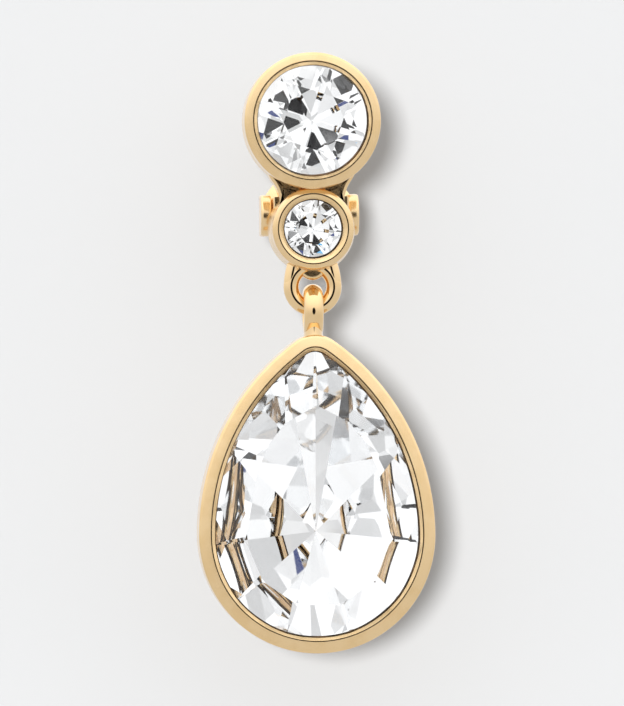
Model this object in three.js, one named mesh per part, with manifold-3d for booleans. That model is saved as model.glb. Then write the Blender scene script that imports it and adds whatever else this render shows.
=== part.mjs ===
// Clip-on teardrop drop earring. A large and a small round crystal sit in one cast setting, a clip
// turns on a pin behind it, and a pear-cut crystal in its own cup swings from a loop ring below.
// Millimetres, +Z up. The stones face -Y, and the ear lobe goes behind the setting, on +Y.
// The origin is the middle of the large cup's flat back.
import * as THREE from 'three';
import { mergeVertices } from 'three/addons/utils/BufferGeometryUtils.js';
import Module from 'manifold-3d';

const wasm = await Module();
wasm.setup();

// ---- driving dimensions ----

const DEGREE = Math.PI / 180;
const ROUND_SIDES = 48; // sides of a round cup

// A round cup: z is its centre's height, rim and back are its outer radius in front and behind,
// face and rear are where it starts and ends along Y, girdle is its crystal's radius, seat is the
// girdle's middle along Y, and lip is the radius of the rim's inner edge.
const LARGE = { z: 0, rim: 4.19, back: 4.19, face: -4.4, rear: 0, girdle: 3.56, seat: -3.9, lip: 3.38 };
const SMALL = { z: -6.62, rim: 2.51, back: 2.7, face: -3.5, rear: -0.2, girdle: 1.95, seat: -3.1, lip: 1.78 };
const RIM_ROUNDING = 0.35; // of a cup's edges, in front and behind
const ROUNDING_MIDDLE = 0.3; // a quarter circle's middle lies this share of its radius from both sides
const LIP_DROP = 0.12; // the rim's inner edge lies this far behind its face
const LIP_BEVEL = 0.2; // width of the slope from the face to that edge
const SEAT_GAP = 0.05; // between a crystal and the metal round it
const FLOOR_GAP = 0.13; // between a crystal's point and the floor of its cup

// Round brilliant crystals: angles from the girdle plane in degrees, sizes as shares of the girdle
// radius (girdle is half its thickness), and how many facets stand in each tier.
const ROUND_CUT = { crown: 36, pavilion: 41, girdle: 0.04, table: 0.54, facets: 16 };

// The pear outline is four arcs: a bottom arc and two side arcs that start at its level, with
// their centres to either side, and a round tip. Radii are those of the cup's outer wall.
const PEAR = { z: -25.4, bottom: 7.26, side: 14.68, tip: 2.0, face: -3.95, rear: 0.5 };
PEAR.sideCentre = PEAR.side - PEAR.bottom;
PEAR.tipZ = PEAR.z + Math.sqrt((PEAR.side - PEAR.tip) ** 2 - PEAR.sideCentre ** 2);
const PEAR_ARC_STEPS = { bottom: 16, side: 12, tip: 4 }; // on each half
const PEAR_GIRDLE = { inset: 0.8, lip: 1.02, seat: -3.5, thickness: 0.2 };
const PEAR_CUT = { crown: 35, rise: 1.5, depth: 3.3, culetZ: -24.6, step: 7.5 }; // angles in degrees
const PEAR_FLOOR = { scale: 0.05, depth: 0.95 }; // the cavity's floor, as shares of edge and depth

// Loop ring under the small cup, and the bail that hangs on it.
const SWING_Y = -1.55; // plane of the ring, and middle of the drop
const RING = { z: -10.16, radius: 1.32, wire: 0.475, steps: 40, sides: 14 };
const BAIL = { z: -11.66, radius: 1.195, thick: 0.475, wide: 0.6, steps: 32, sides: 14 };
const BAIL_NECK = { top: -12.5, bottom: -14.0, halfDepth: 1.38 };

// Web between the two cups, behind their waist: half widths at heights, and its span along Y.
const WEB = {
  outline: [[2.95, -2.6], [2.6, -3.4], [2.2, -4.0], [2.0, -4.6], [1.95, -6.6]],
  front: -2.4,
  rear: -0.3,
};

// Clip: the pin's axis runs along X.
const HINGE = { y: 1.35, z: -5.7, pin: 0.4, bore: 0.46, halfLength: 2.95, sides: 24 };
const EAR = { inner: 1.65, outer: 2.32, radius: 1.1, root: -1.2 };
const EAR_SWEEP = 0.2; // room round the ears as the clip turns
const CHEEK = { inner: 2.4, outer: 2.95, radius: 1.25 };
const LOBE = 4.5; // room for the ear lobe between the setting and the pad
const LEVER = {
  thick: 0.9,
  bend: -2.6, // the pad's flat stretch starts here
  padZ: 0.55,
  padHalfWidth: 2.9,
  padHalfHeight: 3.3,
  stemHalfWidth: 1.7,
  rootFront: 2.35,
  rootTop: -4.75,
  rootBottom: -6.65,
};

// ---- colours ----

const gold = new THREE.MeshStandardMaterial({ color: 0xe0ba82, roughness: 0.28, metalness: 1 });
const crystal = new THREE.MeshStandardMaterial({ color: 0xf4f7fa, roughness: 0.03, metalness: 0 });

// ---- solids ----

/** A closed manifold solid from a three.js geometry. */
function solid(geometry) {
  const bare = new THREE.BufferGeometry();
  bare.setAttribute('position', geometry.getAttribute('position'));
  bare.setIndex(geometry.getIndex());
  const merged = mergeVertices(bare, 1e-4);
  const vertProperties = new Float32Array(merged.getAttribute('position').array);
  const index = merged.getIndex().array;
  const triVerts = [];
  for (let i = 0; i < index.length; i += 3) {
    const [a, b, c] = index.slice(i, i + 3);
    if (a !== b && b !== c && c !== a) triVerts.push(a, b, c);
  }
  const mesh = new wasm.Mesh({ numProp: 3, vertProperties, triVerts: new Uint32Array(triVerts) });
  return new wasm.Manifold(mesh);
}

/** The mesh of a solid, named for its node. */
function piece(name, body, material) {
  const { vertProperties, triVerts } = body.getMesh();
  const geometry = new THREE.BufferGeometry();
  geometry.setAttribute('position', new THREE.BufferAttribute(vertProperties, 3));
  geometry.setIndex(new THREE.BufferAttribute(triVerts, 1));
  geometry.computeVertexNormals();
  const mesh = new THREE.Mesh(geometry, material);
  mesh.name = name;
  return mesh;
}

const X = new THREE.Vector3(1, 0, 0);
const Y = new THREE.Vector3(0, 1, 0);
const Z = new THREE.Vector3(0, 0, 1);

/** An outline run straight up by a depth. */
function plate(shape, depth) {
  return new THREE.ExtrudeGeometry(shape, { depth, bevelEnabled: false, curveSegments: 16 });
}

/** An outline in (x, z) run along Y from front to rear. */
function plateAlongY(shape, front, rear) {
  const geometry = plate(shape, rear - front);
  geometry.applyMatrix4(new THREE.Matrix4().makeBasis(X, Z, Y.clone().negate()));
  return solid(geometry.translate(0, rear, 0));
}

/** An outline in (y, z) run along X from left to right. */
function plateAlongX(shape, left, right) {
  const geometry = plate(shape, right - left);
  geometry.applyMatrix4(new THREE.Matrix4().makeBasis(Y, Z, X));
  return solid(geometry.translate(left, 0, 0));
}

/** A closed polygon through [a, b] points. */
function polygon(points) {
  return new THREE.Shape(points.map(([a, b]) => new THREE.Vector2(a, b)));
}

/** A bar along X, centred on the hinge line. */
function hingeBar(radius, halfLength) {
  const geometry = new THREE.CylinderGeometry(radius, radius, 2 * halfLength, HINGE.sides);
  return solid(geometry.rotateZ(Math.PI / 2).translate(0, HINGE.y, HINGE.z));
}

// ---- round cups and their crystals ----

/** A solid turned about a round cup's front-to-back axis from [radius, y] points. */
function turned(cup, profile) {
  const points = profile.map(([radius, y]) => new THREE.Vector2(radius, y));
  return solid(new THREE.LatheGeometry(points, ROUND_SIDES).translate(0, 0, cup.z));
}

/** The outside of a round cup: face, wall and flat back. */
function cupShell(cup) {
  const r = RIM_ROUNDING;
  const middle = ROUNDING_MIDDLE * r;
  return turned(cup, [
    [0, cup.face],
    [cup.rim - r, cup.face],
    [cup.rim - middle, cup.face + middle],
    [cup.rim, cup.face + r],
    [cup.back, cup.rear - r],
    [cup.back - middle, cup.rear - middle],
    [cup.back - r, cup.rear],
    [0, cup.rear],
  ]);
}

/** The space in a round cup that holds its crystal, with the lip that keeps it in. */
function cupCavity(cup) {
  const wall = cup.girdle + SEAT_GAP;
  const halfGirdle = cup.girdle * ROUND_CUT.girdle;
  const point = cup.seat + halfGirdle + cup.girdle * Math.tan(ROUND_CUT.pavilion * DEGREE);
  const underLip = (cup.girdle - cup.lip) * Math.tan(ROUND_CUT.crown * DEGREE);
  const crownEdge = cup.seat - halfGirdle - SEAT_GAP;
  return turned(cup, [
    [0, cup.face - LIP_DROP],
    [cup.lip + 2 * LIP_BEVEL, cup.face - LIP_DROP],
    [cup.lip, cup.face + LIP_DROP],
    [cup.lip, crownEdge - underLip],
    [wall, crownEdge],
    [wall, cup.seat + halfGirdle + FLOOR_GAP],
    [0, point + FLOOR_GAP],
  ]);
}

/** Cuts a box down to the space behind every plane; a plane is [normal, point]. */
function cutByPlanes(planes, size, centre) {
  const rough = solid(new THREE.BoxGeometry(size, size, size).translate(centre.x, centre.y, centre.z));
  return planes.reduce((body, [normal, point]) => {
    const inward = normal.clone().normalize().negate();
    return body.trimByPlane([inward.x, inward.y, inward.z], inward.dot(point));
  }, rough);
}

/** A facet through an edge point: out is its direction in the girdle plane, slope its angle to it. */
function facet(point, out, slope, front) {
  const normal = out.clone().multiplyScalar(Math.sin(slope));
  normal.y = (front ? -1 : 1) * Math.cos(slope);
  return [normal, point];
}

/** A round brilliant crystal: table, crown, girdle and pavilion. */
function roundCrystal(cup) {
  const halfGirdle = cup.girdle * ROUND_CUT.girdle;
  const tableRise = cup.girdle * (1 - ROUND_CUT.table) * Math.tan(ROUND_CUT.crown * DEGREE);
  const table = new THREE.Vector3(0, cup.seat - halfGirdle - tableRise, cup.z);
  const planes = [[Y.clone().negate(), table]];
  for (let i = 0; i < ROUND_CUT.facets; i += 1) {
    const angle = (2 * Math.PI * i) / ROUND_CUT.facets;
    const out = new THREE.Vector3(Math.cos(angle), 0, Math.sin(angle));
    const edge = out.clone().multiplyScalar(cup.girdle * Math.cos(Math.PI / ROUND_CUT.facets));
    edge.z += cup.z;
    const front = edge.clone().setY(cup.seat - halfGirdle);
    const behind = edge.clone().setY(cup.seat + halfGirdle);
    planes.push([out, edge]);
    planes.push(facet(front, out, ROUND_CUT.crown * DEGREE, true));
    planes.push(facet(behind, out, ROUND_CUT.pavilion * DEGREE, false));
  }
  return cutByPlanes(planes, 4 * cup.girdle, new THREE.Vector3(0, cup.seat, cup.z));
}

// ---- pear cup and its crystal ----

/** Point of the pear outline, inset from the cup's wall, where the outline faces at an angle. */
function pearPoint(angle, inset) {
  const tipStart = Math.acos(PEAR.sideCentre / (PEAR.side - PEAR.tip));
  const right = Math.cos(angle) >= 0 ? 1 : -1;
  const lift = Math.asin(Math.sin(angle)); // angle above the horizontal on either side
  let arc = { x: 0, z: PEAR.z, radius: PEAR.bottom };
  if (lift > tipStart) arc = { x: 0, z: PEAR.tipZ, radius: PEAR.tip };
  else if (lift > 0) arc = { x: -right * PEAR.sideCentre, z: PEAR.z, radius: PEAR.side };
  const reach = arc.radius - inset;
  return new THREE.Vector3(arc.x + reach * Math.cos(angle), 0, arc.z + reach * Math.sin(angle));
}

/** Facing angles of the outline's points, once round from the tip. */
function pearAngles() {
  const tipStart = Math.acos(PEAR.sideCentre / (PEAR.side - PEAR.tip));
  const spans = [
    [Math.PI / 2, tipStart, PEAR_ARC_STEPS.tip],
    [tipStart, 0, PEAR_ARC_STEPS.side],
    [0, -Math.PI / 2, PEAR_ARC_STEPS.bottom],
  ];
  const right = spans.flatMap(([from, to, steps]) =>
    Array.from({ length: steps }, (_, i) => from + ((to - from) * i) / steps));
  const left = right.map((angle) => Math.PI - angle).slice(1).reverse();
  return [...right, -Math.PI / 2, ...left];
}

/** A solid through rows of the pear outline; a row has its inset, scale about the middle, and y. */
function pearLoft(rows) {
  const angles = pearAngles();
  const middle = new THREE.Vector3(0, 0, PEAR_CUT.culetZ);
  const positions = [];
  const faces = [];
  for (const { inset, scale, y } of rows) {
    for (const angle of angles) {
      const p = pearPoint(angle, inset).sub(middle).multiplyScalar(scale).add(middle).setY(y);
      positions.push(p.x, p.y, p.z);
    }
  }
  const count = angles.length;
  for (let row = 0; row + 1 < rows.length; row += 1) {
    for (let i = 0; i < count; i += 1) {
      const a = row * count + i;
      const b = row * count + ((i + 1) % count);
      faces.push(a, b, a + count, b, b + count, a + count);
    }
  }
  const ends = [[rows[0], 0], [rows.at(-1), (rows.length - 1) * count]];
  for (const [{ y }, start] of ends) {
    const hub = positions.length / 3;
    positions.push(middle.x, y, middle.z);
    for (let i = 0; i < count; i += 1) {
      const a = start + i;
      const b = start + ((i + 1) % count);
      faces.push(...(start === 0 ? [hub, b, a] : [hub, a, b]));
    }
  }
  const geometry = new THREE.BufferGeometry();
  geometry.setAttribute('position', new THREE.Float32BufferAttribute(positions, 3));
  geometry.setIndex(faces);
  return solid(geometry);
}

/** The pear cup, closed behind, with the cavity that its crystal sits in. */
function pearCup() {
  const front = RIM_ROUNDING;
  const back = 2 * RIM_ROUNDING;
  const shell = pearLoft([
    { inset: front, scale: 1, y: PEAR.face },
    { inset: ROUNDING_MIDDLE * front, scale: 1, y: PEAR.face + ROUNDING_MIDDLE * front },
    { inset: 0, scale: 1, y: PEAR.face + front },
    { inset: 0, scale: 1, y: PEAR.rear - back },
    { inset: ROUNDING_MIDDLE * back, scale: 1, y: PEAR.rear - ROUNDING_MIDDLE * back },
    { inset: back, scale: 1, y: PEAR.rear },
  ]);
  const halfGirdle = PEAR_GIRDLE.thickness / 2;
  const wall = PEAR_GIRDLE.inset - SEAT_GAP;
  const underLip = (PEAR_GIRDLE.lip - PEAR_GIRDLE.inset) * Math.tan(PEAR_CUT.crown * DEGREE);
  const crownEdge = PEAR_GIRDLE.seat - halfGirdle - SEAT_GAP;
  const pavilionEdge = PEAR_GIRDLE.seat + halfGirdle + FLOOR_GAP;
  const cavity = pearLoft([
    { inset: PEAR_GIRDLE.lip - 2 * LIP_BEVEL, scale: 1, y: PEAR.face - LIP_DROP },
    { inset: PEAR_GIRDLE.lip, scale: 1, y: PEAR.face + LIP_DROP },
    { inset: PEAR_GIRDLE.lip, scale: 1, y: crownEdge - underLip },
    { inset: wall, scale: 1, y: crownEdge },
    { inset: wall, scale: 1, y: pavilionEdge },
    { inset: wall, scale: PEAR_FLOOR.scale, y: pavilionEdge + PEAR_FLOOR.depth * PEAR_CUT.depth },
  ]);
  return shell.subtract(cavity);
}

/** The pear-cut crystal: one facet of each tier for every step of facing angle. */
function pearCrystal() {
  const halfGirdle = PEAR_GIRDLE.thickness / 2;
  const front = PEAR_GIRDLE.seat - halfGirdle;
  const behind = PEAR_GIRDLE.seat + halfGirdle;
  const middle = new THREE.Vector3(0, PEAR_GIRDLE.seat, PEAR_CUT.culetZ);
  const table = new THREE.Vector3(0, front - PEAR_CUT.rise, PEAR_CUT.culetZ);
  const planes = [[Y.clone().negate(), table]];
  for (let turn = 0; turn < 360; turn += PEAR_CUT.step) {
    const angle = turn * DEGREE;
    const out = new THREE.Vector3(Math.cos(angle), 0, Math.sin(angle));
    const edge = pearPoint(angle, PEAR_GIRDLE.inset);
    const reach = out.dot(edge) - out.dot(middle); // from the culet to this side's edge
    const pavilion = Math.atan(PEAR_CUT.depth / reach);
    planes.push([out, edge]);
    planes.push(facet(edge.clone().setY(front), out, PEAR_CUT.crown * DEGREE, true));
    planes.push(facet(edge.clone().setY(behind), out, pavilion, false));
  }
  return cutByPlanes(planes, 4 * PEAR.bottom, middle);
}

// ---- loop ring and bail ----

/** The cast loop ring, in the plane of the stones. */
function loopRing() {
  const geometry = new THREE.TorusGeometry(RING.radius, RING.wire, RING.sides, RING.steps);
  return solid(geometry.rotateX(Math.PI / 2).translate(0, SWING_Y, RING.z));
}

/** The bail: an oval-section loop turned about X, with a short neck down into the pear cup. */
function bail() {
  const profile = Array.from({ length: BAIL.sides + 1 }, (_, i) => {
    const angle = (2 * Math.PI * (i % BAIL.sides)) / BAIL.sides;
    return new THREE.Vector2(BAIL.radius + BAIL.thick * Math.cos(angle), BAIL.wide * Math.sin(angle));
  });
  const loop = new THREE.LatheGeometry(profile, BAIL.steps).rotateZ(Math.PI / 2);
  const height = BAIL_NECK.top - BAIL_NECK.bottom;
  const neck = new THREE.CylinderGeometry(1, 1, height, BAIL.steps).rotateX(Math.PI / 2);
  neck.scale(BAIL.wide, BAIL_NECK.halfDepth, 1);
  neck.translate(0, SWING_Y, (BAIL_NECK.top + BAIL_NECK.bottom) / 2);
  return solid(loop.translate(0, SWING_Y, BAIL.z)).add(solid(neck));
}

// ---- clip ----

/** A lobe round the hinge line, joined to straight sides that run along Y to a far edge. */
function hingeLobe(radius, farY) {
  const shape = new THREE.Shape();
  const turn = farY > HINGE.y ? 1 : -1;
  shape.moveTo(farY, HINGE.z - turn * radius);
  shape.lineTo(farY, HINGE.z + turn * radius);
  shape.lineTo(HINGE.y, HINGE.z + turn * radius);
  shape.absarc(HINGE.y, HINGE.z, radius, (turn * Math.PI) / 2, (turn * Math.PI) / 2 + Math.PI);
  return shape;
}

/** The two ears of the setting that hold the hinge pin. */
function hingeEars() {
  const shape = hingeLobe(EAR.radius, EAR.root);
  const right = plateAlongX(shape, EAR.inner, EAR.outer);
  const left = plateAlongX(shape, -EAR.outer, -EAR.inner);
  return right.add(left);
}

/** The web behind the waist between the two round cups. */
function neckWeb() {
  const right = WEB.outline;
  const left = right.map(([x, z]) => [-x, z]).reverse();
  return plateAlongY(polygon([...right, ...left]), WEB.front, WEB.rear);
}

/** The clip: cheeks outside the ears, and a plate that runs back and up to an oval pad. */
function clipLever() {
  const back = LOBE + LEVER.thick;
  const side = polygon([
    [LEVER.rootFront, LEVER.rootBottom],
    [LEVER.rootFront + LEVER.thick, LEVER.rootBottom],
    [back, LEVER.bend],
    [back, LEVER.padZ + LEVER.padHalfHeight],
    [LOBE, LEVER.padZ + LEVER.padHalfHeight],
    [LOBE, LEVER.bend],
    [LEVER.rootFront, LEVER.rootTop],
  ]);
  const pad = new THREE.Shape();
  pad.absellipse(0, LEVER.padZ, LEVER.padHalfWidth, LEVER.padHalfHeight, 0, 2 * Math.PI);
  const stem = polygon([
    [-CHEEK.outer, LEVER.rootBottom],
    [CHEEK.outer, LEVER.rootBottom],
    [CHEEK.outer, LEVER.rootTop],
    [LEVER.stemHalfWidth, LEVER.bend],
    [LEVER.stemHalfWidth, LEVER.padZ],
    [-LEVER.stemHalfWidth, LEVER.padZ],
    [-LEVER.stemHalfWidth, LEVER.bend],
    [-CHEEK.outer, LEVER.rootTop],
  ]);
  const outline = plateAlongY(pad, 0, 2 * back).add(plateAlongY(stem, 0, 2 * back));
  const bent = plateAlongX(side, -CHEEK.outer, CHEEK.outer).intersect(outline);
  const cheek = hingeLobe(CHEEK.radius, LEVER.rootFront + LEVER.thick / 2);
  const clearEars = plateAlongX(hingeLobe(EAR.radius + EAR_SWEEP, EAR.root), -CHEEK.inner, CHEEK.inner);
  return bent
    .subtract(clearEars)
    .add(plateAlongX(cheek, CHEEK.inner, CHEEK.outer))
    .add(plateAlongX(cheek, -CHEEK.outer, -CHEEK.inner))
    .subtract(hingeBar(HINGE.bore, 2 * HINGE.halfLength));
}

// ---- the earring ----

const setting = [cupShell(SMALL), neckWeb(), loopRing(), hingeEars()]
  .reduce((body, added) => body.add(added), cupShell(LARGE))
  .subtract(cupCavity(LARGE))
  .subtract(cupCavity(SMALL))
  .subtract(hingeBar(HINGE.bore, 2 * HINGE.halfLength));

const earring = new THREE.Group();
earring.name = 'teardrop_earring';
earring.add(
  piece('double_setting', setting, gold),
  piece('large_round_crystal', roundCrystal(LARGE), crystal),
  piece('small_round_crystal', roundCrystal(SMALL), crystal),
  piece('hinge_pin', hingeBar(HINGE.pin, HINGE.halfLength), gold),
  piece('clip_lever', clipLever(), gold),
  piece('drop_setting', pearCup().add(bail()), gold),
  piece('pear_crystal', pearCrystal(), crystal),
);

export default earring;
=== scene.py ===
"""Looks of a clip-on teardrop drop earring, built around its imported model.

Two round crystals sit in one gold casting, a clip turns behind it, and a pear-cut crystal swings
from a loop ring below. Sizes are in millimetres, and meshes are written in metres. The crystals
face -Y, +Z is up, and the origin is the middle of the large cup's flat back.
"""

import itertools
import logging
import math
from dataclasses import dataclass, field
from enum import Enum

import bpy
import numpy as np
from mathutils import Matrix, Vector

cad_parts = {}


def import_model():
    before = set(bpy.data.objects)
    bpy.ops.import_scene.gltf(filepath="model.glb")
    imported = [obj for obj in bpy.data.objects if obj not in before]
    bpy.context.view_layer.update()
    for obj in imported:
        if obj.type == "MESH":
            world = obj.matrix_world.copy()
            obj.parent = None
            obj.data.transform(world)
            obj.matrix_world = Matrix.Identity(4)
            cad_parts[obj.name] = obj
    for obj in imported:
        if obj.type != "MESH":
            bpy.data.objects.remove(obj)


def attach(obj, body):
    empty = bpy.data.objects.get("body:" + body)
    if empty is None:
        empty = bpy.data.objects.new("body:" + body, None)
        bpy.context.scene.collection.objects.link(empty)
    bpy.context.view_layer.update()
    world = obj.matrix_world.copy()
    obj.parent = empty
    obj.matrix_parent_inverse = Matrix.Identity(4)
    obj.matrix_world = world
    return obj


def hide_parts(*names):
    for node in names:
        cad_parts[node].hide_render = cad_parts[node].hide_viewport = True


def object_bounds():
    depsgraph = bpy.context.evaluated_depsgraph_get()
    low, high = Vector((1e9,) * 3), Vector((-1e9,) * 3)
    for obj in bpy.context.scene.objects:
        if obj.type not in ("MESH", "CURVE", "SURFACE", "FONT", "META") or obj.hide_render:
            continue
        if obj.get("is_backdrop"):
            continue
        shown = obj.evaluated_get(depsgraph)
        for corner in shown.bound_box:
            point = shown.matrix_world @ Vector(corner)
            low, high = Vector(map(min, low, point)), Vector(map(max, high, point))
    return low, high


LOG = logging.getLogger("teardrop_earring")
MM = 0.001
SHARP_ANGLE = math.radians(38)


# ---- grids and meshes ----


class View(Enum):
    """Plane that an outline is drawn in; the piece's depth runs across it."""

    FRONT = "outline in x and z, depth along y"
    SIDE = "outline in y and z, depth along x"


class Finish(Enum):
    """Record slots for the finishes of new pieces."""

    CASTING = "gold_casting"
    CLIP = "gold_clip"
    CRYSTAL = "crystal"


def eased(corners: np.ndarray, setbacks: np.ndarray, steps: int = 7, closed: bool = False) -> np.ndarray:
    """A polyline whose corners are turned into curves.

    Each corner P is replaced by the quadratic curve (1-s)^2 A + 2s(1-s) P + s^2 B, where A and B
    lie one setback from P towards its two neighbours.

    Args:
        corners: (n, d) corner points.
        setbacks: (n,) distances from each corner to its curve's ends.
        steps: points on each curve.
        closed: whether the last corner joins the first.

    Returns:
        (m, d) points; the two end corners of an open line stay as they are.
    """
    corners = np.asarray(corners, float)
    setbacks = np.maximum(np.asarray(setbacks, float), 0.004)
    before = np.roll(corners, 1, axis=0) - corners
    after = np.roll(corners, -1, axis=0) - corners
    start = corners + before * (setbacks / np.linalg.norm(before, axis=1))[:, None]
    end = corners + after * (setbacks / np.linalg.norm(after, axis=1))[:, None]
    s = np.linspace(0, 1, steps)[None, :, None]
    curves = (1 - s) ** 2 * start[:, None] + 2 * s * (1 - s) * corners[:, None] + s**2 * end[:, None]
    if closed:
        return curves.reshape(-1, corners.shape[1])
    return np.vstack([corners[:1], curves[1:-1].reshape(-1, corners.shape[1]), corners[-1:]])


def running_length(points: np.ndarray, closed: bool) -> np.ndarray:
    """Length along a polyline up to each point, with the whole length last when it is closed.

    Args:
        points: (n, d) points.
        closed: whether the last point joins the first.

    Returns:
        (n,) or, when closed, (n + 1,) lengths.
    """
    path = np.vstack([points, points[:1]]) if closed else points
    return np.concatenate([[0.0], np.cumsum(np.linalg.norm(np.diff(path, axis=0), axis=1))])


@dataclass
class Surface:
    """A closed surface on a grid: rows follow a path, and columns follow a profile.

    With round_profile the last column joins the first, as on a tube. Otherwise the first and last
    columns are closed at the poles, one point each. An open path is closed by a fan at each end.
    """

    name: str
    grid: np.ndarray
    poles: np.ndarray
    round_path: bool = True
    round_profile: bool = False

    def _corners(self) -> tuple[np.ndarray, np.ndarray, np.ndarray, np.ndarray]:
        """Quads and triangles of the grid, each with its (row, column) place for the UV map.

        Returns:
            quads (q, 4), quad places (q, 4, 2), triangles (t, 3), triangle places (t, 3, 2).
        """
        rows, columns = self.grid.shape[:2]
        row_count = rows if self.round_path else rows - 1
        column_count = columns if self.round_profile else columns - 1
        r, c = np.meshgrid(np.arange(row_count), np.arange(column_count), indexing="ij")
        places = np.stack([[r, c], [r + 1, c], [r + 1, c + 1], [r, c + 1]]).transpose(2, 3, 0, 1)
        places = places.reshape(-1, 4, 2)
        quads = (places[..., 0] % rows) * columns + places[..., 1] % columns
        first, second = rows * columns, rows * columns + 1
        if self.round_profile:
            if self.round_path:
                return quads, places, np.zeros((0, 3), int), np.zeros((0, 3, 2), int)
            k = np.arange(columns)
            start = np.stack([np.full(columns, first), (k + 1) % columns, k], 1)
            last = (rows - 1) * columns
            end = np.stack([np.full(columns, second), last + k, last + (k + 1) % columns], 1)
            place = np.stack([np.zeros_like(k), k], 1)
            nearby = np.stack([place, place + [0, 1], place], 1)
        else:
            k = np.arange(row_count)
            following = (k + 1) % rows
            start = np.stack([np.full(row_count, first), k * columns, following * columns], 1)
            row_ends = [(following + 1) * columns - 1, (k + 1) * columns - 1]
            end = np.stack([np.full(row_count, second), *row_ends], 1)
            start = start[:, [0, 2, 1]]
            end = end[:, [0, 2, 1]]
            place = np.stack([k, np.zeros_like(k)], 1)
            near = np.stack([place + [0, -1], place + [1, 0], place], 1)
            last = place + [0, columns - 1]
            far = np.stack([last + [0, 1], last, last + [1, 0]], 1)
            return quads, places, np.vstack([start, end]), np.vstack([near, far])
        return quads, places, np.vstack([start, end]), np.vstack([nearby, nearby])

    def build(self) -> bpy.types.Object:
        """Makes the mesh, its UV map in millimetres, and its object.

        Returns:
            The new object, at the origin, with its place in its mesh.
        """
        quads, quad_places, triangles, triangle_places = self._corners()
        points = np.vstack([self.grid.reshape(-1, 3), self.poles.reshape(-1, 3)])
        fans = np.vstack([quads[:, [0, 1, 2]], quads[:, [0, 2, 3]], triangles])
        a, b, c = points[fans[:, 0]], points[fans[:, 1]], points[fans[:, 2]]
        inside_out = np.einsum("ij,ij->", a, np.cross(b, c)) < 0
        if inside_out:
            quads, quad_places = quads[:, ::-1], quad_places[:, ::-1]
            triangles, triangle_places = triangles[:, ::-1], triangle_places[:, ::-1]
        mesh = bpy.data.meshes.new(self.name)
        used = points if len(triangles) else points[: self.grid.shape[0] * self.grid.shape[1]]
        mesh.from_pydata((used * MM).tolist(), [], quads.tolist() + triangles.tolist())
        middle_column = self.grid.shape[1] // 2
        along = running_length(self.grid[:, middle_column], self.round_path)
        across = running_length(self.grid[0], self.round_profile)
        places = np.vstack([quad_places.reshape(-1, 2), triangle_places.reshape(-1, 2)])
        rows = np.minimum(places[:, 0], len(along) - 1)
        columns = np.clip(places[:, 1], 0, len(across) - 1)
        reach = np.linalg.norm(self.grid[0, 0] - self.poles[0]) * (places[:, 1] - columns)
        uv = np.stack([along[rows], across[columns] + reach], 1)
        mesh.uv_layers.new(name="UVMap").data.foreach_set("uv", uv.astype(np.float32).ravel())
        mesh.shade_smooth()
        mesh.set_sharp_from_angle(angle=SHARP_ANGLE)
        mesh.update()
        made = bpy.data.objects.new(self.name, mesh)
        bpy.context.scene.collection.objects.link(made)
        return made


@dataclass(frozen=True)
class Outline:
    """A closed outline with its outward normals and middle, all in its own plane."""

    points: np.ndarray
    normals: np.ndarray
    middle: np.ndarray

    @staticmethod
    def through(points: np.ndarray, middle: tuple[float, float]) -> "Outline":
        """An outline through points, whose normals stand square to the line between neighbours.

        Args:
            points: (n, 2) points, anticlockwise.
            middle: a point inside.

        Returns:
            The outline.
        """
        run = np.roll(points, -1, axis=0) - np.roll(points, 1, axis=0)
        run /= np.linalg.norm(run, axis=1)[:, None]
        return Outline(points, np.stack([run[:, 1], -run[:, 0]], 1), np.asarray(middle, float))

    def solid(self, name: str, profile: np.ndarray, view: View) -> Surface:
        """A closed solid from a profile carried round the outline.

        A point is middle + scale * (point - inset * normal - middle), at the profile's depth.

        Args:
            name: the piece's name.
            profile: (m, 3) rows of inset, scale and depth, from one pole to the other.
            view: the plane of the outline.

        Returns:
            The surface.
        """
        inset, scale, depth = (profile[:, k][None, :, None] for k in range(3))
        flat = self.points[:, None] - inset * self.normals[:, None]
        flat = self.middle + scale * (flat - self.middle)
        grid = self._placed(flat, np.broadcast_to(depth, flat.shape[:2] + (1,)), view)
        ends = np.array([profile[0, 2], profile[-1, 2]])[:, None]
        poles = self._placed(np.tile(self.middle, (2, 1)), ends, view)
        return Surface(name, grid, poles)

    @staticmethod
    def _placed(flat: np.ndarray, depth: np.ndarray, view: View) -> np.ndarray:
        """Outline coordinates and depth as x, y and z."""
        first, second = flat[..., :1], flat[..., 1:]
        order = (first, depth, second) if view is View.FRONT else (depth, first, second)
        return np.concatenate(order, axis=-1)


def disc(radius: float, centre: tuple[float, float], steps: int = 192) -> Outline:
    """A round outline: centre + radius * (cos t, sin t) for t once round.

    Args:
        radius: its radius.
        centre: its middle.
        steps: points on it.

    Returns:
        The outline.
    """
    t = np.linspace(0, 2 * np.pi, steps, endpoint=False)
    normals = np.stack([np.cos(t), np.sin(t)], 1)
    return Outline(np.asarray(centre) + radius * normals, normals, np.asarray(centre, float))


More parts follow.
